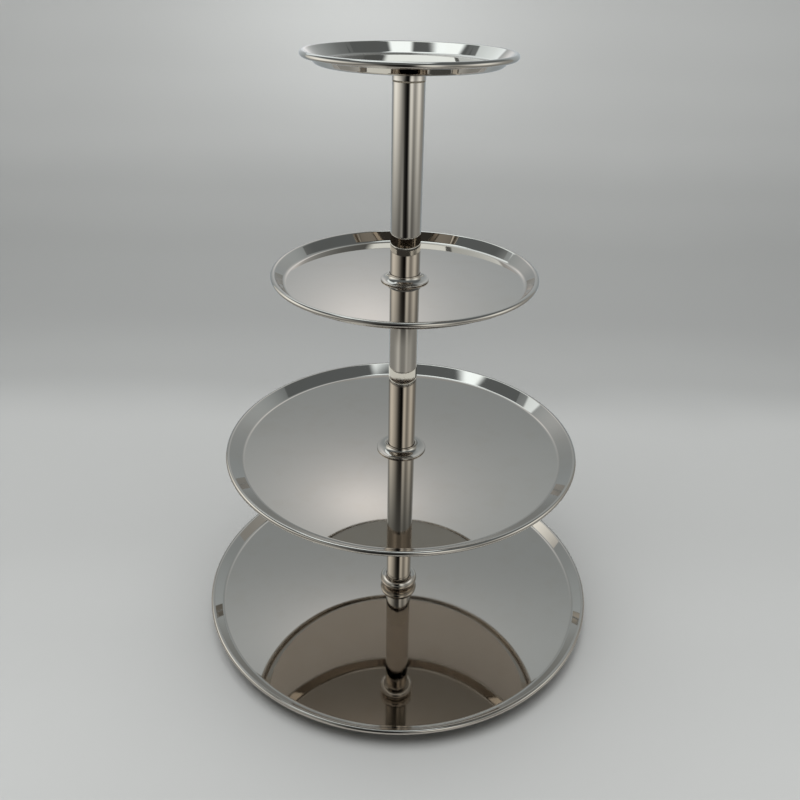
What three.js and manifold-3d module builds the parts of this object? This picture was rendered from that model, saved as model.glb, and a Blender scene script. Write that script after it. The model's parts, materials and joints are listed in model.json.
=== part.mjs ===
// Four-tier cake stand: polished metal trays on a central column that screws together in sections.
// Millimetres, +Z up. The origin is on the table, under the column's axis.
import * as THREE from 'three';
import { mergeVertices } from 'three/addons/utils/BufferGeometryUtils.js';
import Module from 'manifold-3d';

const wasm = await Module();
wasm.setup();

// ---- Driving dimensions ----

// Trays, from the table up: outer diameter, and width in plan of the raised border round the flat well.
const bottomTray = { name: 'bottom_tray', diameter: 336, border: 12 };
const secondTray = { name: 'second_tray', diameter: 284, border: 14.3 };
const thirdTray = { name: 'third_tray', diameter: 195.5, border: 11.3 };
const topTray = { name: 'top_tray', diameter: 141, border: 12 };

const sheet = 0.9;          // thickness of the tray metal
const borderRise = 7.8;     // from the well's top face to the top of the border
const wellCove = 4;         // radius of the hollow curve where the border leaves the well
const rimBead = 2;          // radius of the rolled edge

// Column sections: one tube each, from tray to tray.
const tubeDiameter = 22;
const tubeWall = 1;
const tubeLength = 145;
const trayWasherThickness = 1;
const trayWasherWidth = 4;

// Half-round bead rings: one round the lowest tube's foot, and one under each clamped tray.
const beadReach = 5.5;      // how far the bead stands out from the tube
const beadHeight = 10.6;

// Flared collars round the feet of the two tubes above.
const middleCollarReach = 9;     // how far the collar's rim stands out from the tube
const upperCollarReach = 6.7;
const collarEdge = 1.2;     // thickness of the collar's rim
const collarHeight = 5.4;
const collarLip = 0.8;      // wall left round the tube at the collar's top

// Screwed ends inside the tubes.
const studDiameter = 8;
const studReachDown = 12;   // thread held in the section below
const studReachUp = 10;     // thread that the section above screws on to
const insertLength = 16;
const insertChamfer = 0.8;

// Boss under the top tray, with its threaded spigot.
const bossStep = 0.2;       // how far the boss's foot stands out from the tube
const bossFlare = 2;        // how far its top stands out from the tube
const bossHeight = 9;
const bossBand = 1.2;       // height of the straight band at the boss's foot
const topWasherThickness = 0.6;

// Under the bottom tray.
const footHeight = 9;
const footBaseDiameter = 18;
const footTopDiameter = 15;
const footEdge = 1;
const footInset = 31.5;      // from the edge of the bottom tray's well in to the feet's centres
const footCount = 4;
const baseWasherDiameter = 34;
const baseWasherThickness = 1.5;
const screwHeadDiameter = 15;
const screwHeadHeight = 4;
const screwHeadEdge = 0.8;
const screwSlotWidth = 2;
const screwSlotDepth = 1.6;

// Clearances.
const turningGap = 0.3;     // between a thread or ring and what turns or slides on it
const brazedGap = 0.1;      // between a tube and what is fixed inside or round it
const seatGap = 0.02;       // between faces that rest on each other
const cutOverrun = 1;       // how far a cutting shape passes the faces that it cuts

// Facets round the axis.
const traySegments = 48;
const tubeSegments = 24;
const smallSegments = 16;

// Facets along the curves of an outline.
const coveSteps = 4;
const rimBeadSteps = 10;
const beadSteps = 7;
const collarSteps = 5;
const collarEdgeSteps = 4;

// ---- Derived places, up the column ----

const tubeRadius = tubeDiameter / 2;
const tubeBore = tubeRadius - tubeWall;
const studRadius = studDiameter / 2;
const threadedBore = studRadius + turningGap;
const tierPitch = tubeLength + trayWasherThickness + sheet + 3 * seatGap;
const wellHeight = tier => footHeight + seatGap + sheet + tier * tierPitch;
const tubeFoot = tier => wellHeight(tier) + seatGap;

// ---- Materials ----

const polished = () => new THREE.MeshStandardMaterial({ color: 0xc8c5bd, metalness: 1, roughness: 0.08 });
const turnedSteel = () => new THREE.MeshStandardMaterial({ color: 0xa9a9a6, metalness: 1, roughness: 0.35 });
const fibre = () => new THREE.MeshStandardMaterial({ color: 0xd8d2c2, metalness: 0, roughness: 0.8 });
const rubber = () => new THREE.MeshStandardMaterial({ color: 0x1c1c1d, metalness: 0, roughness: 0.75 });

// ---- Shape helpers ----

// Points along an ellipse's arc, from one angle to another in radians, ends included.
function arc(centreR, centreZ, radiusR, radiusZ, from, to, steps) {
  const points = [];
  for (let i = 0; i <= steps; i += 1) {
    const angle = from + (to - from) * i / steps;
    points.push([centreR + radiusR * Math.cos(angle), centreZ + radiusZ * Math.sin(angle)]);
  }
  return points;
}

// A solid of revolution about Z. The outline runs anticlockwise in (radius, height), and it is closed
// here unless it starts and ends on the axis.
function turned(outline, segments) {
  const points = outline.map(([r, z]) => new THREE.Vector2(r, z));
  const onAxis = outline[0][0] === 0 && outline[outline.length - 1][0] === 0;
  if (!onAxis) {
    points.push(points[0].clone());
  }
  const geometry = new THREE.LatheGeometry(points, segments);
  geometry.rotateX(Math.PI / 2);
  return geometry;
}

// A plain ring with square edges.
function ring(inner, outer, height, segments) {
  return turned([[inner, 0], [outer, 0], [outer, height], [inner, height]], segments);
}

function asManifold(geometry) {
  const bare = geometry.clone();
  bare.deleteAttribute('normal');
  bare.deleteAttribute('uv');
  const merged = mergeVertices(bare);
  const vertProperties = new Float32Array(merged.attributes.position.array);
  const triVerts = new Uint32Array(merged.index.array);
  return new wasm.Manifold(new wasm.Mesh({ numProp: 3, vertProperties, triVerts }));
}

function asGeometry(manifold) {
  const mesh = manifold.getMesh();
  const geometry = new THREE.BufferGeometry();
  geometry.setAttribute('position', new THREE.BufferAttribute(mesh.vertProperties, 3));
  geometry.setIndex(new THREE.BufferAttribute(mesh.triVerts, 1));
  geometry.computeVertexNormals();
  return geometry;
}

const stand = new THREE.Group();

function place(name, geometry, material, z, x = 0, y = 0) {
  const mesh = new THREE.Mesh(geometry, material);
  mesh.name = name;
  mesh.position.set(x, y, z);
  stand.add(mesh);
}

// ---- Trays ----

// Outline of the sheet outside the well: under the cove, up the back of the wall, round the rolled edge
// and down the inner face. Height 0 is the well's top face. The wall is the straight line that touches
// both the cove and the rolled edge, and its back follows it a sheet's thickness away.
function borderOutline(diameter, border) {
  const coveR = diameter / 2 - border;
  const beadR = diameter / 2 - rimBead;
  const beadZ = borderRise - rimBead;
  const apart = Math.hypot(beadZ - wellCove, beadR - coveR);
  const lean = Math.asin((wellCove + rimBead) / apart);
  const wallSlope = Math.atan2(beadZ - wellCove, beadR - coveR) + lean;
  const coveEnd = wallSlope - Math.PI / 2;
  const beadEnd = wallSlope + Math.PI / 2;
  const beadStart = beadEnd + Math.acos(1 - sheet / rimBead) - 2 * Math.PI;
  const back = wellCove + sheet;
  const underCove = arc(coveR, wellCove, back, back, -Math.PI / 2, coveEnd, coveSteps);
  const bead = arc(beadR, beadZ, rimBead, rimBead, beadStart, beadEnd, rimBeadSteps);
  const cove = arc(coveR, wellCove, wellCove, wellCove, coveEnd, -Math.PI / 2, coveSteps);
  return [...underCove, ...bead, ...cove];
}

// A tray with a hole for the stud.
function clampedTray(tray, tier) {
  const outline = [[threadedBore, -sheet], ...borderOutline(tray.diameter, tray.border), [threadedBore, 0]];
  place(tray.name, turned(outline, traySegments), polished(), wellHeight(tier));
}

// The top tray has no hole: its boss is fixed underneath.
function closedTray(tray, tier) {
  const outline = [[0, -sheet], ...borderOutline(tray.diameter, tray.border), [0, 0]];
  place(tray.name, turned(outline, traySegments), polished(), wellHeight(tier));
}

// ---- Column sections ----

function tube(name, tier, length) {
  place(`${name}_tube`, ring(tubeBore, tubeRadius, length, tubeSegments), polished(), tubeFoot(tier));
}

// Threaded plug fixed inside a tube's end. Its thread is drawn as a plain bore.
function insert(name, bottom) {
  const outer = tubeBore - brazedGap;
  const outline = [
    [threadedBore, 0],
    [outer - insertChamfer, 0],
    [outer, insertChamfer],
    [outer, insertLength - insertChamfer],
    [outer - insertChamfer, insertLength],
    [threadedBore, insertLength],
  ];
  place(name, turned(outline, tubeSegments), turnedSteel(), bottom);
}

// Half-round ring round a tube. A fixed one hugs the tube, and a loose one turns on it.
function beadRing(name, bottom, gap) {
  const inner = tubeRadius + gap;
  const half = beadHeight / 2;
  const bulge = arc(inner, half, tubeRadius + beadReach - inner, half, -Math.PI / 2, Math.PI / 2, beadSteps);
  place(name, turned(bulge, tubeSegments), polished(), bottom);
}

// Collar that spreads from the tube to a thin round flange on the tray.
function flaredCollar(name, tier, reach) {
  const inner = tubeRadius + turningGap;
  const outer = tubeRadius + reach;
  const edge = collarEdge / 2;
  const lip = inner + collarLip;
  const sweep = arc(outer - edge, collarHeight, outer - edge - lip, collarHeight - collarEdge,
    Math.PI * 1.5, Math.PI, collarSteps);
  const nose = arc(outer - edge, edge, edge, edge, -Math.PI / 2, Math.PI / 2, collarEdgeSteps).slice(0, -1);
  const outline = [[inner, 0], ...nose, ...sweep, [inner, collarHeight]];
  place(name, turned(outline, tubeSegments), polished(), tubeFoot(tier));
}

// Double-ended stud: fixed in the head of one section, through the tray, into the foot of the next.
function stud(name, tier) {
  const bottom = tubeFoot(tier) + tubeLength - studReachDown;
  const top = wellHeight(tier + 1) + studReachUp;
  const length = top - bottom;
  const chamfer = insertChamfer;
  const outline = [
    [0, 0],
    [studRadius - chamfer, 0],
    [studRadius, chamfer],
    [studRadius, length - chamfer],
    [studRadius - chamfer, length],
    [0, length],
  ];
  place(name, turned(outline, smallSegments), turnedSteel(), bottom);
}

// Soft washer between the head of a section and the tray that it carries.
function trayWasher(name, tier) {
  const bottom = tubeFoot(tier) + tubeLength + seatGap;
  const inner = tubeRadius + trayWasherWidth / 2 - trayWasherWidth;
  const thickness = trayWasherThickness - seatGap;
  place(name, ring(inner, inner + trayWasherWidth, thickness, tubeSegments), fibre(), bottom);
}

// A section that carries a tray: tube, threaded ends, bead ring at its head, stud and washer.
function carryingSection(name, trayName, tier) {
  const head = tubeFoot(tier) + tubeLength;
  tube(name, tier, tubeLength);
  insert(`${name}_foot_insert`, tubeFoot(tier) + brazedGap);
  insert(`${name}_head_insert`, head - insertLength - brazedGap);
  stud(`${name}_stud`, tier);
  beadRing(`${name}_support_ring`, head - beadHeight, brazedGap);
  trayWasher(`${trayName}_washer`, tier);
}

// The last section ends lower, under the top tray's boss.
function lastSection(name, tier) {
  const bossBottom = wellHeight(tier + 1) - sheet - seatGap - bossHeight;
  const head = bossBottom - topWasherThickness - 2 * seatGap;
  tube(name, tier, head - tubeFoot(tier));
  insert(`${name}_foot_insert`, tubeFoot(tier) + brazedGap);
  insert(`${name}_head_insert`, head - insertLength - brazedGap);
  place('top_tray_washer', ring(tubeBore, tubeRadius, topWasherThickness, tubeSegments), fibre(), head + seatGap);
  topSpigot(bossBottom);
}

// Flared boss fixed under the top tray, with the threaded spigot that screws into the last tube.
function topSpigot(bossBottom) {
  const chamfer = insertChamfer;
  const outline = [
    [0, -studReachDown],
    [studRadius - chamfer, -studReachDown],
    [studRadius, chamfer - studReachDown],
    [studRadius, 0],
    [tubeRadius + bossStep, 0],
    [tubeRadius + bossStep, bossBand],
    [tubeRadius + bossFlare, bossHeight],
    [0, bossHeight],
  ];
  place('top_tray_spigot', turned(outline, tubeSegments), polished(), bossBottom);
}

// ---- Base ----

function baseFeet() {
  const circle = bottomTray.diameter / 2 - bottomTray.border - footInset;
  const outline = [
    [0, 0],
    [footBaseDiameter / 2 - footEdge, 0],
    [footBaseDiameter / 2, footEdge],
    [footTopDiameter / 2, footHeight],
    [0, footHeight],
  ];
  for (let i = 0; i < footCount; i += 1) {
    const angle = (i + 0.5) * 2 * Math.PI / footCount;
    const x = circle * Math.cos(angle);
    const y = circle * Math.sin(angle);
    place(`foot_${i + 1}`, turned(outline, smallSegments), rubber(), 0, x, y);
  }
}

// Slotted screw from below: its shank is the thread that the lowest tube screws on to.
function baseScrew() {
  const seat = footHeight - baseWasherThickness - seatGap;
  const headRadius = screwHeadDiameter / 2;
  const top = tubeFoot(0) + studReachUp;
  const length = top - seat;
  const outline = [
    [0, -screwHeadHeight],
    [headRadius - screwHeadEdge, -screwHeadHeight],
    [headRadius, screwHeadEdge - screwHeadHeight],
    [headRadius, 0],
    [studRadius, 0],
    [studRadius, length - insertChamfer],
    [studRadius - insertChamfer, length],
    [0, length],
  ];
  const slotLength = screwHeadDiameter + 2 * cutOverrun;
  const slot = new THREE.BoxGeometry(slotLength, screwSlotWidth, screwSlotDepth + cutOverrun);
  slot.translate(0, 0, (screwSlotDepth - cutOverrun) / 2 - screwHeadHeight);
  const screw = asManifold(turned(outline, tubeSegments)).subtract(asManifold(slot));
  place('base_screw', asGeometry(screw), turnedSteel(), seat - seatGap);
  const washer = ring(threadedBore, baseWasherDiameter / 2, baseWasherThickness, tubeSegments);
  place('base_washer', washer, turnedSteel(), seat);
}

// ---- Assembly, from the table up ----

baseFeet();
baseScrew();
clampedTray(bottomTray, 0);
beadRing('lower_collar', tubeFoot(0), turningGap);
carryingSection('lower', secondTray.name, 0);
clampedTray(secondTray, 1);
flaredCollar('middle_collar', 1, middleCollarReach);
carryingSection('middle', thirdTray.name, 1);
clampedTray(thirdTray, 2);
flaredCollar('upper_collar', 2, upperCollarReach);
lastSection('upper', 2);
closedTray(topTray, 3);

export default stand;
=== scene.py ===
"""Looks of the four-tier cake stand: mirror-polished plate trays on a column of screwed tubes.

Lengths are metres, +Z is up, and the origin is on the table under the column's axis.
"""
import json
import math

import bpy
from mathutils import Matrix, Vector


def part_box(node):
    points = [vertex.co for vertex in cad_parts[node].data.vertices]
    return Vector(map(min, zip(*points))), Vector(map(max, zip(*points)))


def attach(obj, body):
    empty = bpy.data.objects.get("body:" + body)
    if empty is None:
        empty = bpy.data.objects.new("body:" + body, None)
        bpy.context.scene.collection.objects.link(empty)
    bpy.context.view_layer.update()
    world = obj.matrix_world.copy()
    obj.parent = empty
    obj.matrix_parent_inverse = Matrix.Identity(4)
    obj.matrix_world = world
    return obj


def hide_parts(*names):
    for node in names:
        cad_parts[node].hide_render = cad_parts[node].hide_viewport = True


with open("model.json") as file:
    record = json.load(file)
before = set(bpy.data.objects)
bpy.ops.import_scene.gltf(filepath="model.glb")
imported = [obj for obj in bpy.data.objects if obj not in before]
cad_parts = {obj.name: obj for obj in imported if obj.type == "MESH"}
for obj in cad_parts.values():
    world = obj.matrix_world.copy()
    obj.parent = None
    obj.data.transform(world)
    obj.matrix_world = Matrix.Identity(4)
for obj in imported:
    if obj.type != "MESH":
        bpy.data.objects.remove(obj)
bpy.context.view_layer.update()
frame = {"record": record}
BODY_OF = {node: body for body, nodes in frame["record"]["behaviour"]["bodies"].items() for node in nodes}

# ---- Sizes that the boxes don't hold, the same as the solid model's ----

BORDER = {"bottom_tray": 0.012, "second_tray": 0.0143, "third_tray": 0.0113, "top_tray": 0.012}
SHEET = 0.0009          # tray metal
RIM_BEAD = 0.002        # radius of the rolled edge
WELL_COVE = 0.004       # radius of the hollow curve where the border leaves the well
TUBE_WALL = 0.001
EDGE = 0.00025          # broken edge on turned parts
TURNING_GAP = 0.0003
BRAZED_GAP = 0.0001
STUD_RADIUS = 0.004
THREAD_PITCH = 0.00125
THREAD_DEPTH = 0.0006
THREAD_FADE = 0.8       # turns over which a thread runs out at its ends
THREAD_RUNOUT = 1.2     # depth that its ends are turned down to, as a share of the thread's
THREAD_STEEPNESS = 1.25  # over 1, a thread has a flat root
INSERT_CHAMFER = 0.0008
INSERT_THREAD = 0.7     # depth of an insert's thread as a share of the stud's
COLLAR_EDGE = 0.0012
COLLAR_LIP = 0.0008
BOSS_BAND = 0.0012
BOSS_STEP = 0.0002
SPIGOT_LENGTH = 0.012
TRAY_WASHER_WIDTH = 0.004
SCREW_HEAD_HEIGHT = 0.004
SCREW_HEAD_EDGE = 3 * EDGE
SCREW_SLOT_WIDTH = 0.002
SCREW_SLOT_DEPTH = 0.0016
CUT_OVERRUN = 0.001     # how far the slot's cutter passes the head
FOOT_EDGE = 0.001
FOOT_TAPER = 0.0011     # how much narrower a foot is at its top
FOOT_GROOVE_DEPTH = 0.0004
FOOT_GROOVE = (0.35, 0.38, 0.5, 0.53)     # the groove's edges, as shares of the foot's radius

ROUND = 256             # facets round a tray
FINE = 128              # facets round the column's parts
COARSE = 64             # facets round what is hidden inside or underneath
WELL_RINGS = 24         # rings of faces across a well
TUBE_RINGS = 40         # rings of faces along a tube
COVE_STEPS = 16
RIM_STEPS = 40
BEAD_STEPS = 32
COLLAR_EDGE_STEPS = 14
COLLAR_STEPS = 24
BOSS_STEPS = 12
FOOT_EDGE_STEPS = 8
FOOT_TOP_STEPS = 6
ROD_SEGMENTS = 40       # facets round a thread
ROWS_A_TURN = 8         # rows of faces along one turn of a thread
SAME_POINT = 1e-7       # points nearer than this are one point
ON_AXIS = 1e-9
RING_GRID = 1e8         # steps to a metre when rings of points are matched
SMOOTH_ANGLE = math.radians(50)

QUARTER = math.pi / 2


# ---- Outlines and meshes ----

class Outline:
    """An outline in (radius, height) made of lines and arcs, each with its own smooth normals."""

    def __init__(self, start):
        self.runs = []
        self.end = start

    def line(self, r, z, steps=1):
        r0, z0 = self.end
        length = math.hypot(r - r0, z - z0)
        normal = ((z - z0) / length, -(r - r0) / length)
        points = [(r0 + (r - r0) * i / steps, z0 + (z - z0) * i / steps) for i in range(steps + 1)]
        self.runs.append((points, [normal] * (steps + 1)))
        self.end = (r, z)
        return self

    def arc(self, centre, radii, begin, finish, steps):
        """An ellipse's arc between two angles, counted anticlockwise from outward."""
        (cr, cz), (a, b) = centre, radii
        turn = 1 if finish > begin else -1
        points, normals = [], []
        for i in range(steps + 1):
            t = begin + (finish - begin) * i / steps
            points.append((cr + a * math.cos(t), cz + b * math.sin(t)))
            n = Vector((b * math.cos(t), a * math.sin(t))).normalized() * turn
            normals.append((n.x, n.y))
        if math.dist(points[0], self.end) < SAME_POINT:
            points[0] = self.end
        else:
            self.line(*points[0])
        self.runs.append((points, normals))
        self.end = points[-1]
        return self


def lathe(name, outline, segments, centre=(0, 0)):
    """Turns an outline about the vertical through centre. It runs anticlockwise, so that normals face out."""
    verts, faces, loops = [], [], []
    rings = {}

    def ring(point):
        """The indices of the points round the axis at one point of the outline, shared where runs meet."""
        radius, z = point
        key = (round(radius * RING_GRID), round(z * RING_GRID))
        if key not in rings:
            if radius < ON_AXIS:
                rings[key] = [len(verts)] * segments
                verts.append((centre[0], centre[1], z))
            else:
                rings[key] = list(range(len(verts), len(verts) + segments))
                for k in range(segments):
                    a = 2 * math.pi * k / segments
                    verts.append((centre[0] + radius * math.cos(a), centre[1] + radius * math.sin(a), z))
        return rings[key]

    for points, normals in outline.runs:
        for i in range(len(points) - 1):
            low, high = ring(points[i]), ring(points[i + 1])
            for k in range(segments):
                m = (k + 1) % segments
                corners = [(low[k], k, normals[i]), (low[m], k + 1, normals[i]),
                           (high[m], k + 1, normals[i + 1]), (high[k], k, normals[i + 1])]
                kept = []
                for c in corners:
                    if c[0] not in [x[0] for x in kept]:
                        kept.append(c)
                if len(kept) < 3:
                    continue
                faces.append([c[0] for c in kept])
                for _, step, (nr, nz) in kept:
                    a = 2 * math.pi * step / segments
                    loops.append((nr * math.cos(a), nr * math.sin(a), nz))
    mesh = bpy.data.meshes.new(name)
    mesh.from_pydata(verts, [], faces)
    mesh.polygons.foreach_set("use_smooth", [True] * len(mesh.polygons))
    mesh.normals_split_custom_set(loops)
    return linked(name, mesh)


def mesh_object(name, verts, faces):
    """A mesh that is smooth apart from its sharp edges."""
    mesh = bpy.data.meshes.new(name)
    mesh.from_pydata(verts, [], faces)
    mesh.polygons.foreach_set("use_smooth", [True] * len(mesh.polygons))
    mesh.set_sharp_from_angle(angle=SMOOTH_ANGLE)
    return linked(name, mesh)


def linked(name, data):
    obj = bpy.data.objects.new(name, data)
    bpy.context.scene.collection.objects.link(obj)
    return obj


def join(name, *objs):
    """One object of several meshes, each closed by itself."""
    verts, faces = [], []
    for o in objs:
        base = len(verts)
        verts += [tuple(v.co) for v in o.data.vertices]
        faces += [[base + i for i in p.vertices] for p in o.data.polygons]
        bpy.data.objects.remove(o)
    return mesh_object(name, verts, faces)


def piece(obj, node, material):
    """obj stands for a CAD node: it takes its body and its material."""
    obj.data.materials.append(material)
    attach(obj, BODY_OF[node])
    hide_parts(node)


def measure(node):
    """Outer radius, bottom, top and centre of a round node."""
    low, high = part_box(node)
    return (high.x - low.x) / 2, low.z, high.z, ((low.x + high.x) / 2, (low.y + high.y) / 2)


# ---- Materials ----

class Nodes:
    """A material's node tree with short calls."""

    def __init__(self, name):
        self.material = bpy.data.materials.new(name)
        self.material.use_nodes = True
        self.tree = self.material.node_tree
        self.tree.nodes.clear()
        self.out = self.add("ShaderNodeOutputMaterial")

    def add(self, kind, inputs=None, **settings):
        node = self.tree.nodes.new(kind)
        for key, value in settings.items():
            setattr(node, key, value)
        for key, value in (inputs or {}).items():
            socket = node.inputs[key]
            if isinstance(value, bpy.types.NodeSocket):
                self.tree.links.new(value, socket)
            else:
                socket.default_value = value
        return node

    def math(self, operation, a, b=0.0):
        return self.add("ShaderNodeMath", {0: a, 1: b}, operation=operation).outputs[0]

    def place(self):
        return self.add("ShaderNodeTexCoord").outputs["Object"]

    def split(self, vector):
        return self.add("ShaderNodeSeparateXYZ", {0: vector}).outputs

    def noise(self, vector, scale, detail, **inputs):
        return self.add("ShaderNodeTexNoise",
                        {"Vector": vector, "Scale": scale, "Detail": detail, **inputs}).outputs[0]

    def stretched(self, vector, scale, rotation=(0, 0, 0)):
        return self.add("ShaderNodeMapping",
                        {"Vector": vector, "Rotation": rotation, "Scale": scale}).outputs[0]

    def remap(self, value, low, high, to_low, to_high):
        return self.add("ShaderNodeMapRange", {"Value": value, "From Min": low, "From Max": high,
                                               "To Min": to_low, "To Max": to_high}).outputs[0]

    def smooth(self, value, low, high):
        """0 below low, 1 above high, and an even curve between them."""
        return self.add("ShaderNodeMapRange", {"Value": value, "From Min": low, "From Max": high},
                        interpolation_type="SMOOTHSTEP").outputs[0]

    def between(self, share, a, b):
        """a where share is 0 and b where it is 1."""
        return self.math("ADD", self.math("MULTIPLY", self.math("SUBTRACT", 1.0, share), a),
                         self.math("MULTIPLY", share, b))

    def mix(self, share, a, b):
        """between() for colours."""
        node = self.add("ShaderNodeMix", data_type="RGBA")
        for key, value in ((0, share), (6, a), (7, b)):
            if isinstance(value, bpy.types.NodeSocket):
                self.tree.links.new(value, node.inputs[key])
            else:
                node.inputs[key].default_value = value
        return node.outputs[2]

    def bump(self, height, strength, distance, under=None):
        inputs = {"Height": height, "Strength": strength, "Distance": distance}
        if under:
            inputs["Normal"] = under
        return self.add("ShaderNodeBump", inputs).outputs[0]

    def surface(self, **inputs):
        """Ends the tree in a principled surface."""
        sockets = {key.replace("_", " "): value for key, value in inputs.items()}
        return self.finish(self.add("ShaderNodeBsdfPrincipled", sockets))

    def glow(self, level, color):
        """Ends the tree in plain light."""
        return self.finish(self.add("ShaderNodeEmission", {"Color": color, "Strength": level}))

    def finish(self, shader):
        self.tree.links.new(shader.outputs[0], self.out.inputs["Surface"])
        return self.material


PLATE = (0.555, 0.510, 0.460, 1)      # nickel-silver plate, one reflection
TARNISH = (0.470, 0.395, 0.300, 1)    # warmer film in the corners
STEEL = (0.55, 0.55, 0.54, 1)
DULL_STEEL = (0.40, 0.39, 0.36, 1)
FIBRE = (0.66, 0.60, 0.50, 1)
FIBRE_FLECK = (0.48, 0.42, 0.33, 1)
RUBBER = (0.022, 0.022, 0.024, 1)
DUST = (0.10, 0.10, 0.095, 1)


def plate(name, spin):
    """Mirror-polished plate. spin is how strong the concentric polishing marks are."""
    n = Nodes(name)
    place = n.place()
    x, y, z = n.split(place)
    radius = n.math("SQRT", n.math("ADD", n.math("MULTIPLY", x, x), n.math("MULTIPLY", y, y)))
    # wiping haze in broad soft patches, with fine strokes over it
    haze = n.remap(n.noise(place, 22.0, 4.0, Roughness=0.55), 0.42, 0.75, 0.0, 1.0)
    strokes = n.noise(n.stretched(place, (260, 9, 260), rotation=(0, 0, 0.6)), 1.0, 3.0)
    rough = n.math("ADD", n.remap(haze, 0.0, 1.0, 0.018, 0.05), n.remap(strokes, 0.55, 0.8, 0.0, 0.02))
    # slight waves in the sheet, and concentric polishing marks
    waves = n.bump(n.noise(place, 14.0, 1.0), 1.0, 0.00006)
    across = n.add("ShaderNodeCombineXYZ", {0: n.math("MULTIPLY", radius, 1400.0),
                                            1: n.math("MULTIPLY", z, 900.0)}).outputs[0]
    marks = n.bump(n.noise(across, 1.0, 2.0), spin, 0.0000012, under=waves)
    # film: a trace in patches
    film = n.remap(n.noise(place, 60.0, 5.0), 0.5, 0.85, 0.0, 0.16)
    return n.surface(Base_Color=n.mix(film, PLATE, TARNISH), Metallic=1.0, Roughness=rough, Normal=marks)


def steel(name):
    """Turned, zinc-bright steel with fine tool marks."""
    n = Nodes(name)
    place = n.place()
    marks = n.noise(n.stretched(place, (300, 300, 9000)), 1.0, 3.0)
    spots = n.noise(place, 350.0, 4.0)
    return n.surface(Base_Color=n.mix(n.remap(spots, 0.35, 0.75, 0.0, 1.0), STEEL, DULL_STEEL), Metallic=1.0,
                     Roughness=n.remap(spots, 0.3, 0.7, 0.24, 0.42), Normal=n.bump(marks, 0.6, 0.00001))


def fibre(name):
    """Pale pressed fibre with flecks."""
    n = Nodes(name)
    flecks = n.noise(n.place(), 1500.0, 5.0)
    return n.surface(Base_Color=n.mix(n.remap(flecks, 0.4, 0.7, 0.0, 1.0), FIBRE, FIBRE_FLECK),
                     Roughness=0.85, Normal=n.bump(flecks, 0.7, 0.00004))


def rubber(name):
    """Matt black rubber with dust in its grain."""
    n = Nodes(name)
    place = n.place()
    grain = n.noise(place, 900.0, 6.0)
    dust = n.noise(place, 180.0, 4.0)
    return n.surface(Base_Color=n.mix(n.remap(dust, 0.5, 0.8, 0.0, 0.5), RUBBER, DUST),
                     Roughness=n.remap(dust, 0.3, 0.7, 0.55, 0.8), Normal=n.bump(grain, 0.6, 0.00008))


tray_plate = plate("tray_plate", 0.5)
column_plate = plate("column_plate", 0.15)
turned_steel = steel("turned_steel")
washer_fibre = fibre("washer_fibre")
foot_rubber = rubber("foot_rubber")


# ---- Trays ----

def tray(node):
    """Flat well, a cove, a wall from the cove to the rolled edge, and the sheet's back under them."""
    radius, bottom, top, _ = measure(node)
    well = bottom + SHEET
    cove = (radius - BORDER[node], well + WELL_COVE)
    bead = (radius - RIM_BEAD, top - RIM_BEAD)
    apart = math.dist(cove, bead)
    slope = math.atan2(bead[1] - cove[1], bead[0] - cove[0]) + math.asin((WELL_COVE + RIM_BEAD) / apart)
    cove_end, bead_end = slope - QUARTER, slope + QUARTER
    bead_start = bead_end + math.acos(1 - SHEET / RIM_BEAD) - 2 * math.pi
    back = WELL_COVE + SHEET
    hole = 0.0 if node == "top_tray" else STUD_RADIUS + TURNING_GAP
    o = Outline((hole, bottom))
    o.line(cove[0], bottom, WELL_RINGS)
    o.arc(cove, (back, back), -QUARTER, cove_end, COVE_STEPS)
    o.arc(bead, (RIM_BEAD, RIM_BEAD), bead_start, bead_end, RIM_STEPS)
    o.arc(cove, (WELL_COVE, WELL_COVE), cove_end, -QUARTER, COVE_STEPS)
    o.line(hole, well, WELL_RINGS)
    if hole:
        o.line(hole, bottom)
    piece(lathe(node + "_plate", o, ROUND), node, tray_plate)


for name in BORDER:
    tray(name)


# ---- Column ----

def tube(node):
    radius, bottom, top, _ = measure(node)
    bore = radius - TUBE_WALL
    o = Outline((bore + EDGE, bottom))
    o.line(radius - EDGE, bottom).line(radius, bottom + EDGE).line(radius, top - EDGE, TUBE_RINGS)
    o.line(radius - EDGE, top).line(bore + EDGE, top).line(bore, top - EDGE).line(bore, bottom + EDGE)
    o.line(bore + EDGE, bottom)
    piece(lathe(node + "_plate", o, FINE), node, column_plate)


def bead_ring(node, inner):
    """A half-round bead."""
    radius, bottom, top, _ = measure(node)
    half = (top - bottom) / 2
    o = Outline((inner, bottom))
    o.arc((inner, bottom + half), (radius - inner, half), -QUARTER, QUARTER, BEAD_STEPS)
    o.line(inner, bottom)
    piece(lathe(node + "_plate", o, FINE), node, column_plate)


def flared_collar(node, inner):
    """A collar that sweeps out from the tube to a thin round edge."""
    radius, bottom, top, _ = measure(node)
    edge = COLLAR_EDGE / 2
    lip = inner + COLLAR_LIP
    flare = (radius - edge - lip, top - bottom - COLLAR_EDGE)
    o = Outline((inner, bottom))
    o.arc((radius - edge, bottom + edge), (edge, edge), -QUARTER, QUARTER, COLLAR_EDGE_STEPS)
    o.arc((radius - edge, top), flare, 3 * QUARTER, 2 * QUARTER, COLLAR_STEPS)
    o.line(inner + EDGE, top).line(inner, top - EDGE).line(inner, bottom)
    piece(lathe(node + "_plate", o, FINE), node, column_plate)


def washer(node, inner, material):
    radius, bottom, top, _ = measure(node)
    e = min(EDGE, (top - bottom) / 4)
    o = Outline((inner + e, bottom))
    o.line(radius - e, bottom).line(radius, bottom + e).line(radius, top - e).line(radius - e, top)
    o.line(inner + e, top).line(inner, top - e).line(inner, bottom + e).line(inner + e, bottom)
    piece(lathe(node + "_ring", o, FINE), node, material)


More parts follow.
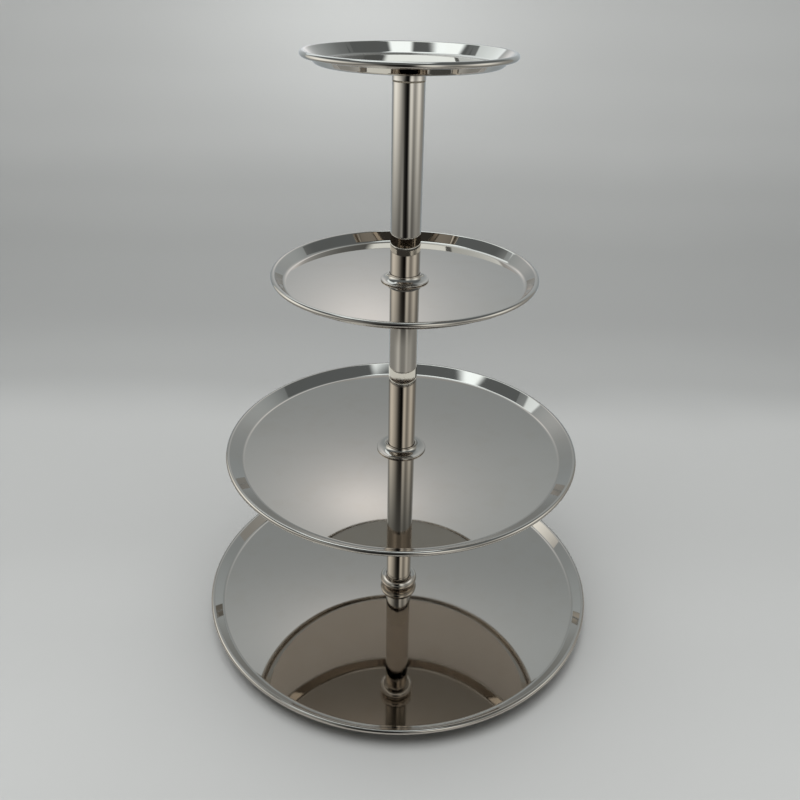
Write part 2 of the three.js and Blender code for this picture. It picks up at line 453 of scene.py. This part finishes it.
def insert(node):
    """A plug with chamfered ends and a grooved bore for the stud."""
    radius, bottom, top, _ = measure(node)
    bore = STUD_RADIUS + TURNING_GAP
    mouth = INSERT_CHAMFER / 2
    o = Outline((bore + mouth, bottom))
    o.line(radius - INSERT_CHAMFER, bottom).line(radius, bottom + INSERT_CHAMFER)
    o.line(radius, top - INSERT_CHAMFER).line(radius - INSERT_CHAMFER, top)
    o.line(bore + mouth, top).line(bore, top - mouth)
    z = top - mouth
    for _ in range(int((top - bottom - INSERT_CHAMFER) / THREAD_PITCH)):
        o.line(bore + THREAD_DEPTH * INSERT_THREAD, z - THREAD_PITCH / 2).line(bore, z - THREAD_PITCH)
        z -= THREAD_PITCH
    o.line(bore, bottom + mouth).line(bore + mouth, bottom)
    piece(lathe(node + "_turned", o, COARSE), node, turned_steel)


def threaded_rod(name, bottom, top):
    """A rod with a real helical thread that fades out at both ends."""
    rows = int((top - bottom) / THREAD_PITCH * ROWS_A_TURN)
    verts, faces = [], []
    for i in range(rows + 1):
        z = bottom + (top - bottom) * i / rows
        end = min(z - bottom, top - z)
        taper = max(0.0, 1 - end / (THREAD_PITCH * THREAD_FADE))
        for k in range(ROD_SEGMENTS):
            a = 2 * math.pi * k / ROD_SEGMENTS
            phase = (z / THREAD_PITCH - k / ROD_SEGMENTS) % 1
            depth = THREAD_DEPTH * min(1.0, abs(phase * 2 - 1) * THREAD_STEEPNESS)
            r = STUD_RADIUS - max(depth, taper * THREAD_DEPTH * THREAD_RUNOUT)
            verts.append((r * math.cos(a), r * math.sin(a), z))
    for i in range(rows):
        for k in range(ROD_SEGMENTS):
            low, high = i * ROD_SEGMENTS, (i + 1) * ROD_SEGMENTS
            m = (k + 1) % ROD_SEGMENTS
            faces.append([low + k, low + m, high + m, high + k])
    faces.append(list(range(ROD_SEGMENTS - 1, -1, -1)))
    faces.append([rows * ROD_SEGMENTS + k for k in range(ROD_SEGMENTS)])
    return mesh_object(name, verts, faces)


def stud(node):
    _, bottom, top, _ = measure(node)
    piece(threaded_rod(node + "_thread", bottom, top), node, turned_steel)


def top_spigot(node):
    """The flared boss under the top tray, with its thread as a child."""
    radius, bottom, top, _ = measure(node)
    seat = bottom + SPIGOT_LENGTH
    thread = threaded_rod("spigot_thread", bottom, seat + THREAD_PITCH)
    foot_radius = column_radius + BOSS_STEP
    band_top = seat + BOSS_BAND
    o = Outline((0, seat))
    o.line(foot_radius - EDGE, seat).line(foot_radius, seat + EDGE).line(foot_radius, band_top)
    o.arc((radius, band_top), (radius - foot_radius, top - band_top), 2 * QUARTER, QUARTER, BOSS_STEPS)
    o.line(0, top)
    boss = lathe(node + "_boss", o, FINE)
    piece(boss, node, column_plate)
    thread.data.materials.append(turned_steel)
    thread.parent = boss
    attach(thread, BODY_OF[node])


def slot_cutter(length, bottom, top):
    """A block across the screw's head."""
    w = SCREW_SLOT_WIDTH / 2
    corners = [(x, y, z) for z in (bottom, top) for y in (-w, w) for x in (-length, length)]
    sides = [(0, 2, 3, 1), (4, 5, 7, 6), (0, 1, 5, 4), (2, 6, 7, 3), (0, 4, 6, 2), (1, 3, 7, 5)]
    mesh = bpy.data.meshes.new("slot_cutter")
    mesh.from_pydata(corners, [], sides)
    return linked("slot_cutter", mesh)


def base_screw(node):
    """Slotted screw with its head down and its thread up."""
    radius, bottom, top, _ = measure(node)
    seat = bottom + SCREW_HEAD_HEIGHT
    shank = threaded_rod("screw_shank", seat, top)
    o = Outline((0, bottom))
    o.line(radius - SCREW_HEAD_EDGE, bottom).line(radius, bottom + SCREW_HEAD_EDGE)
    o.line(radius, seat - EDGE).line(radius - EDGE, seat).line(0, seat)
    head = lathe("screw_head", o, COARSE)
    cutter = slot_cutter(radius + CUT_OVERRUN, bottom - CUT_OVERRUN, bottom + SCREW_SLOT_DEPTH)
    cut = head.modifiers.new("slot", "BOOLEAN")
    cut.operation = "DIFFERENCE"
    cut.object = cutter
    cut.solver = "EXACT"
    bpy.context.view_layer.update()
    done = bpy.data.meshes.new_from_object(head.evaluated_get(bpy.context.evaluated_depsgraph_get()))
    head.modifiers.clear()
    head.data = done
    bpy.data.objects.remove(cutter)
    piece(join(node + "_turned", head, shank), node, turned_steel)


def foot(node):
    """Tapered rubber foot with a groove round the middle of its face."""
    radius, bottom, top, centre = measure(node)
    e = FOOT_EDGE
    narrow = radius - FOOT_TAPER
    face = bottom + FOOT_GROOVE_DEPTH
    in_low, in_high, out_high, out_low = [radius * share for share in FOOT_GROOVE]
    o = Outline((0, bottom))
    o.line(in_low, bottom).line(in_high, face).line(out_high, face).line(out_low, bottom)
    o.line(radius - e, bottom)
    o.arc((radius - e, bottom + e), (e, e), -QUARTER, 0, FOOT_EDGE_STEPS)
    o.line(narrow, top - e / 2)
    o.arc((narrow - e / 2, top - e / 2), (e / 2, e / 2), 0, QUARTER, FOOT_TOP_STEPS)
    o.line(0, top)
    piece(lathe(node + "_pad", o, COARSE, centre), node, foot_rubber)


column_radius = measure("lower_tube")[0]
for name in ("lower", "middle", "upper"):
    tube(name + "_tube")
    insert(name + "_foot_insert")
    insert(name + "_head_insert")
for name in ("lower_stud", "middle_stud"):
    stud(name)
for name in ("lower_support_ring", "middle_support_ring"):
    bead_ring(name, column_radius + BRAZED_GAP)
bead_ring("lower_collar", column_radius + TURNING_GAP)
for name in ("middle_collar", "upper_collar"):
    flared_collar(name, column_radius + TURNING_GAP)
for name in ("second_tray_washer", "third_tray_washer"):
    washer(name, measure(name)[0] - TRAY_WASHER_WIDTH, washer_fibre)
washer("top_tray_washer", column_radius - TUBE_WALL, washer_fibre)
washer("base_washer", STUD_RADIUS + TURNING_GAP, turned_steel)
top_spigot("top_tray_spigot")
base_screw("base_screw")
for i in range(4):
    foot(f"foot_{i + 1}")


# ---- The studio's sizes and tones ----

# Paper that lies flat under the stand and curves up far behind it: tone against distance along it, with the
# fall of the light painted in as light and shade.
SWEEP_LIGHT_AND_SHADE = [(-0.6, 0.60), (-0.2, 0.57), (-0.05, 0.525), (0.10, 0.485), (0.28, 0.485), (0.42, 0.385),
               (0.64, 0.345), (0.95, 0.355), (1.25, 0.395), (1.55, 0.465), (1.81, 0.505), (2.04, 0.54),
               (3.0, 0.55)]
SWEEP_TINT = (0.985, 1.0, 0.985)
SWEEP_START = 0.9       # distance behind the stand at which the paper starts to rise
SWEEP_RADIUS = 0.9
SWEEP_HEIGHT = 3.5
SWEEP_SIDE = 5.0
SWEEP_FRONT = -5.0
SWEEP_STEPS = 24
GRAIN_SHIFT = 0.02      # how far the paper's grain moves its tones
GLARE_AT = -0.12        # middle, width and strength of the painted light on the far paper
GLARE_WIDTH = 0.40
GLARE_GAIN = 0.33
GLARE_FAR = (1.2, 2.1)

# Daylight, with the plate's own warmth taken off it, and the warmer spot in it.
COOL = (0.93, 1.06, 1.13, 1)
WARM = (1.14, 1.08, 1.08, 1)

# Light wall behind the stand: tone against height.
BACK = 0.40
BACK_HEIGHT = 1.5
BACK_SIDE = 0.9
BACK_TONES = [(0.0, 0.48), (0.1, 0.42), (0.2, 0.355), (0.3, 0.345), (0.36, 0.36), (0.42, 0.41), (0.5, 0.46),
              (0.6, 0.48), (0.8, 0.36), (1.0, 0.25), (1.5, 0.20)]
SPOT_AT = (-0.05, 0.52)
SPOT_SIZE = (0.087, 0.066)
SPOT_LEVEL = 0.56
WINDOW = (-0.42, -0.015, 0.64, 1.35)      # x and z from and to
WINDOW_LEVEL = 0.8
WINDOW_EDGE = 0.015

# Part of the ceiling with a bright light in it, over the stand and to its left: x and y from and to.
LAMP = (-1.10, 0.42, -0.05, 1.2)
LAMP_FRONT = (-0.05, 0.42, -0.27, -0.05)
LAMP_LEVEL = 1.6
LAMP_EDGE = 0.06
CEILING = 0.16
CEILING_HEIGHT = 2.4
CEILING_DEPTH = (-1.2, 2.0)
CEILING_SIDE = 2.0

# The rest of the room by compass direction, in degrees from the camera's side: high and low on its walls, and
# on the table round the stand.
ROOM_HIGH = [(-130, 0.25), (-105, 0.95), (-85, 0.80), (-65, 0.56), (-50, 0.36), (-38, 0.17), (-27, 0.04),
             (-10, 0.0), (1, 0.0), (7, 0.12), (14, 0.75), (25, 0.75), (35, 0.32), (47, 0.22), (62, 0.52),
             (77, 0.80), (90, 0.58), (105, 0.22), (130, 0.20)]
ROOM_LOW = [(-130, 0.35), (-100, 0.30), (-75, 0.29), (-57, 0.14), (-45, 0.13), (-33, 0.45), (-26, 0.30),
            (-20, 0.0), (11, 0.0), (18, 0.20), (26, 0.52), (35, 0.24), (44, 0.10), (62, 0.27), (84, 0.36),
            (105, 0.28), (130, 0.35)]
ROOM_TABLE = [(-130, 0.36), (-100, 0.34), (-78, 0.36), (-58, 0.48), (-41, 0.76), (-31, 0.58), (-22, 0.36),
              (-12, 0.30), (8, 0.30), (18, 0.42), (27, 0.62), (36, 0.47), (45, 0.43), (62, 0.48), (74, 0.36),
              (90, 0.30), (108, 0.28), (130, 0.36)]
ROOM_TINT = (1.0, 1.03, 1.0, 1)
ROOM_HIGH_GAIN = 1.7
ROOM_MIDDLE = (0.10, 0.42)      # heights between which the low tones give way to the high ones
ROOM_TOP = (0.5, 0.85)          # heights between which the walls take the ceiling's tone
ROOM_RADIUS = 0.66
ROOM_HEIGHT = 1.3
ROOM_TURN = 130
ROOM_STEP = 5
TABLE_START = 0.26
TABLE_LIFT = 0.0006
TABLE_NEAR = 0.50               # tone of the table right beside the stand
TABLE_NEAR_END = (0.26, 0.36)   # radii between which that tone gives way to the table's
TABLE_FAR_END = (0.52, 0.66)    # and the table's to the walls'


# ---- Floor, panels of light and lamps ----

def stage_mesh(name, verts, faces, material):
    obj = mesh_object(name, verts, faces)
    obj.data.materials.append(material)
    return obj


def reflected_only(obj):
    """A studio panel: it shows in polished metal and nowhere else."""
    obj.visible_camera = False
    obj.visible_diffuse = False
    obj.visible_transmission = False
    obj.visible_shadow = False
    obj.visible_volume_scatter = False


def strip(name, path, side, material):
    """A stage sheet: a path of (y, z) points swept along X from -side to side."""
    verts = [(x, y, z) for y, z in path for x in (-side, side)]
    faces = [(2 * i, 2 * i + 1, 2 * i + 3, 2 * i + 2) for i in range(len(path) - 1)]
    return stage_mesh(name, verts, faces, material)


def round_panel(name, rings, material):
    """A reflected sheet between two rings (radius, height) round the stand, open at the back."""
    turns = [math.radians(a) for a in range(-ROOM_TURN, ROOM_TURN + 1, ROOM_STEP)]
    verts = [(r * math.sin(a), -r * math.cos(a), z) for r, z in rings for a in turns]
    faces = [(k, k + 1, len(turns) + k + 1, len(turns) + k) for k in range(len(turns) - 1)]
    reflected_only(stage_mesh(name, verts, faces, material))


def paint_ramp(n, value, stops, tint=(1, 1, 1), interpolation="B_SPLINE"):
    """A grey that changes smoothly with value, from the first stop to the last."""
    low, high = stops[0][0], stops[-1][0]
    ramp = n.add("ShaderNodeValToRGB", {0: n.remap(value, low, high, 0.0, 1.0)})
    ramp.color_ramp.interpolation = interpolation
    for i, (at, level) in enumerate(stops):
        place = (at - low) / (high - low)
        stop = ramp.color_ramp.elements[i] if i < 2 else ramp.color_ramp.elements.new(place)
        stop.position = place
        stop.color = (level * tint[0], level * tint[1], level * tint[2], 1)
    return ramp.outputs[0]


def soft_box(n, x, z, bounds, edge):
    """1 inside a rectangle of (x, z), falling to 0 over its edge."""
    low_x, high_x, low_z, high_z = bounds
    level = None
    for value, start, way in ((x, low_x, 1), (x, high_x, -1), (z, low_z, 1), (z, high_z, -1)):
        side = n.smooth(value, start - edge * way, start + edge * way)
        level = side if level is None else n.math("MULTIPLY", level, side)
    return level


def sweep_painted_light():
    """Pale matt paper with painted light and shade: a little darker where it leaves the light, and a painted
    pool of light in the middle far behind.
    """
    n = Nodes("sweep_painted_light")
    x, y, z = n.split(n.place())
    along = n.math("ADD", y, z)
    grain = n.remap(n.noise(n.place(), 3.0, 2.0), 0.3, 0.7, -GRAIN_SHIFT, GRAIN_SHIFT)
    # painted light and shade along the paper, moved a little by its grain
    grey = paint_ramp(n, n.math("ADD", along, grain), SWEEP_LIGHT_AND_SHADE, SWEEP_TINT, "EASE")
    # a painted pool of light across the middle of the far paper
    off = n.math("DIVIDE", n.math("SUBTRACT", x, GLARE_AT), GLARE_WIDTH)
    middle = n.math("EXPONENT", n.math("MULTIPLY", n.math("MULTIPLY", off, off), -1.0))
    glare = n.math("MULTIPLY", middle, n.smooth(along, *GLARE_FAR))
    gain = n.math("ADD", 1.0, n.math("MULTIPLY", glare, GLARE_GAIN))
    gains = n.add("ShaderNodeCombineXYZ", {0: gain, 1: gain, 2: gain}).outputs[0]
    color = n.add("ShaderNodeVectorMath", {0: grey, 1: gains}, operation="MULTIPLY").outputs[0]
    return n.surface(Base_Color=color, Roughness=0.8, Specular_IOR_Level=0.1)


def back_glow():
    """Light wall: brighter towards its top, a soft warm spot, and a window high on its left."""
    n = Nodes("back_glow")
    x, _, z = n.split(n.place())
    level = paint_ramp(n, z, BACK_TONES)
    window = n.math("MULTIPLY", soft_box(n, x, z, WINDOW, WINDOW_EDGE), WINDOW_LEVEL)
    dx = n.math("DIVIDE", n.math("SUBTRACT", x, SPOT_AT[0]), SPOT_SIZE[0])
    dz = n.math("DIVIDE", n.math("SUBTRACT", z, SPOT_AT[1]), SPOT_SIZE[1])
    far = n.math("ADD", n.math("MULTIPLY", dx, dx), n.math("MULTIPLY", dz, dz))
    spot = n.math("DIVIDE", SPOT_LEVEL, n.math("ADD", far, 1.0))
    wall = n.add("ShaderNodeEmission", {"Color": COOL, "Strength": n.math("ADD", level, window)})
    warm = n.add("ShaderNodeEmission", {"Color": WARM, "Strength": spot})
    return n.finish(n.add("ShaderNodeAddShader", {0: wall.outputs[0], 1: warm.outputs[0]}))


def lamp_glow():
    n = Nodes("lamp_glow")
    x, y, _ = n.split(n.place())
    lamps = n.math("ADD", soft_box(n, x, y, LAMP, LAMP_EDGE), soft_box(n, x, y, LAMP_FRONT, LAMP_EDGE))
    return n.glow(n.math("ADD", CEILING, n.math("MULTIPLY", lamps, LAMP_LEVEL)), COOL)


def room_glow(name, build):
    """Light that build works out from the place and its compass direction."""
    n = Nodes(name)
    x, y, z = n.split(n.place())
    degrees = n.math("DEGREES", n.math("ARCTAN2", x, n.math("MULTIPLY", y, -1.0)))
    return n.glow(build(n, (x, y, z), degrees), n.mix(n.smooth(z, *ROOM_TOP), ROOM_TINT, COOL))


def wall_level(n, place, degrees):
    """Bright windows at both sides, the dark camera side between them, and the ceiling's tone at the top."""
    _, _, z = place
    high = n.math("MULTIPLY", paint_ramp(n, degrees, ROOM_HIGH), ROOM_HIGH_GAIN)
    low = paint_ramp(n, degrees, ROOM_LOW)
    return n.between(n.smooth(z, *ROOM_TOP), n.between(n.smooth(z, *ROOM_MIDDLE), low, high), CEILING)


def table_level(n, place, degrees):
    """The table in front of the stand, dimmer where things stand round it."""
    x, y, _ = place
    reach = n.math("SQRT", n.math("ADD", n.math("MULTIPLY", x, x), n.math("MULTIPLY", y, y)))
    table = n.between(n.smooth(reach, *TABLE_NEAR_END), TABLE_NEAR, paint_ramp(n, degrees, ROOM_TABLE))
    return n.between(n.smooth(reach, *TABLE_FAR_END), table, paint_ramp(n, degrees, ROOM_LOW))


def sweep_path():
    """The paper's edge: flat, a quarter circle, then straight up."""
    angles = [QUARTER * i / SWEEP_STEPS for i in range(SWEEP_STEPS + 1)]
    bend = [(SWEEP_START + SWEEP_RADIUS * math.sin(a), SWEEP_RADIUS * (1 - math.cos(a))) for a in angles]
    return [(SWEEP_FRONT, 0.0)] + bend + [(SWEEP_START + SWEEP_RADIUS, SWEEP_HEIGHT)]


def soft_light(name, size, energy, at, aim):
    """A large soft light that polished metal doesn't show."""
    data = bpy.data.lights.new(name, "AREA")
    data.shape = "RECTANGLE"
    data.size, data.size_y = size
    data.energy = energy
    obj = linked(name, data)
    obj.location = at
    obj.rotation_euler = (Vector(aim) - obj.location).to_track_quat("-Z", "Y").to_euler()
    obj.visible_glossy = False


strip("sweep", sweep_path(), SWEEP_SIDE, sweep_painted_light())
reflected_only(strip("back_panel", [(BACK, 0.0), (BACK, BACK_HEIGHT)], BACK_SIDE, back_glow()))
reflected_only(strip("ceiling", [(y, CEILING_HEIGHT) for y in CEILING_DEPTH], CEILING_SIDE, lamp_glow()))
round_panel("room_wall", ((ROOM_RADIUS, 0.0), (ROOM_RADIUS, ROOM_HEIGHT)),
            room_glow("room_wall_glow", wall_level))
round_panel("room_table", ((TABLE_START, TABLE_LIFT), (ROOM_RADIUS, TABLE_LIFT)),
            room_glow("room_table_glow", table_level))

# A dim room above, so that the borders of the trays stay grey.
world = bpy.data.worlds.new("studio")
bpy.context.scene.world = world
world.use_nodes = True
world.node_tree.nodes["Background"].inputs["Color"].default_value = (0.98, 1.0, 0.99, 1)
world.node_tree.nodes["Background"].inputs["Strength"].default_value = CEILING

soft_light("overhead", (3.0, 3.0), 62.0, (0.0, 0.2, 2.4), (0.0, 0.2, 0.0))
soft_light("key", (1.2, 0.8), 8.0, (-0.5, -0.6, 2.2), (0.0, 0.0, 0.2))


# ---- Camera ----

CAMERA_AT = (0.0, -0.5392, 0.5064)
YAW = math.radians(0.07)
PITCH = math.radians(29.47)     # how far it looks down
ROLL = math.radians(1.25)
SENSOR = 36                     # millimetres
FOCAL_SHARE = 0.965             # focal length as a share of the sensor's width
SHIFT = -0.00375                # as a share of the picture's width

forward = Vector((math.sin(YAW) * math.cos(PITCH), math.cos(YAW) * math.cos(PITCH), -math.sin(PITCH)))
right = Vector((math.cos(YAW), -math.sin(YAW), 0))
up = right.cross(forward)
across = math.cos(ROLL) * right + math.sin(ROLL) * up
over = -math.sin(ROLL) * right + math.cos(ROLL) * up
lens = bpy.data.cameras.new("camera")
lens.sensor_width = SENSOR
lens.lens = SENSOR * FOCAL_SHARE
lens.shift_x = SHIFT
camera = linked("camera", lens)
camera.matrix_world = Matrix.Translation(CAMERA_AT) @ Matrix((across, over, -forward)).transposed().to_4x4()
bpy.context.scene.camera = camera
bpy.context.scene.view_settings.view_transform = "Standard"
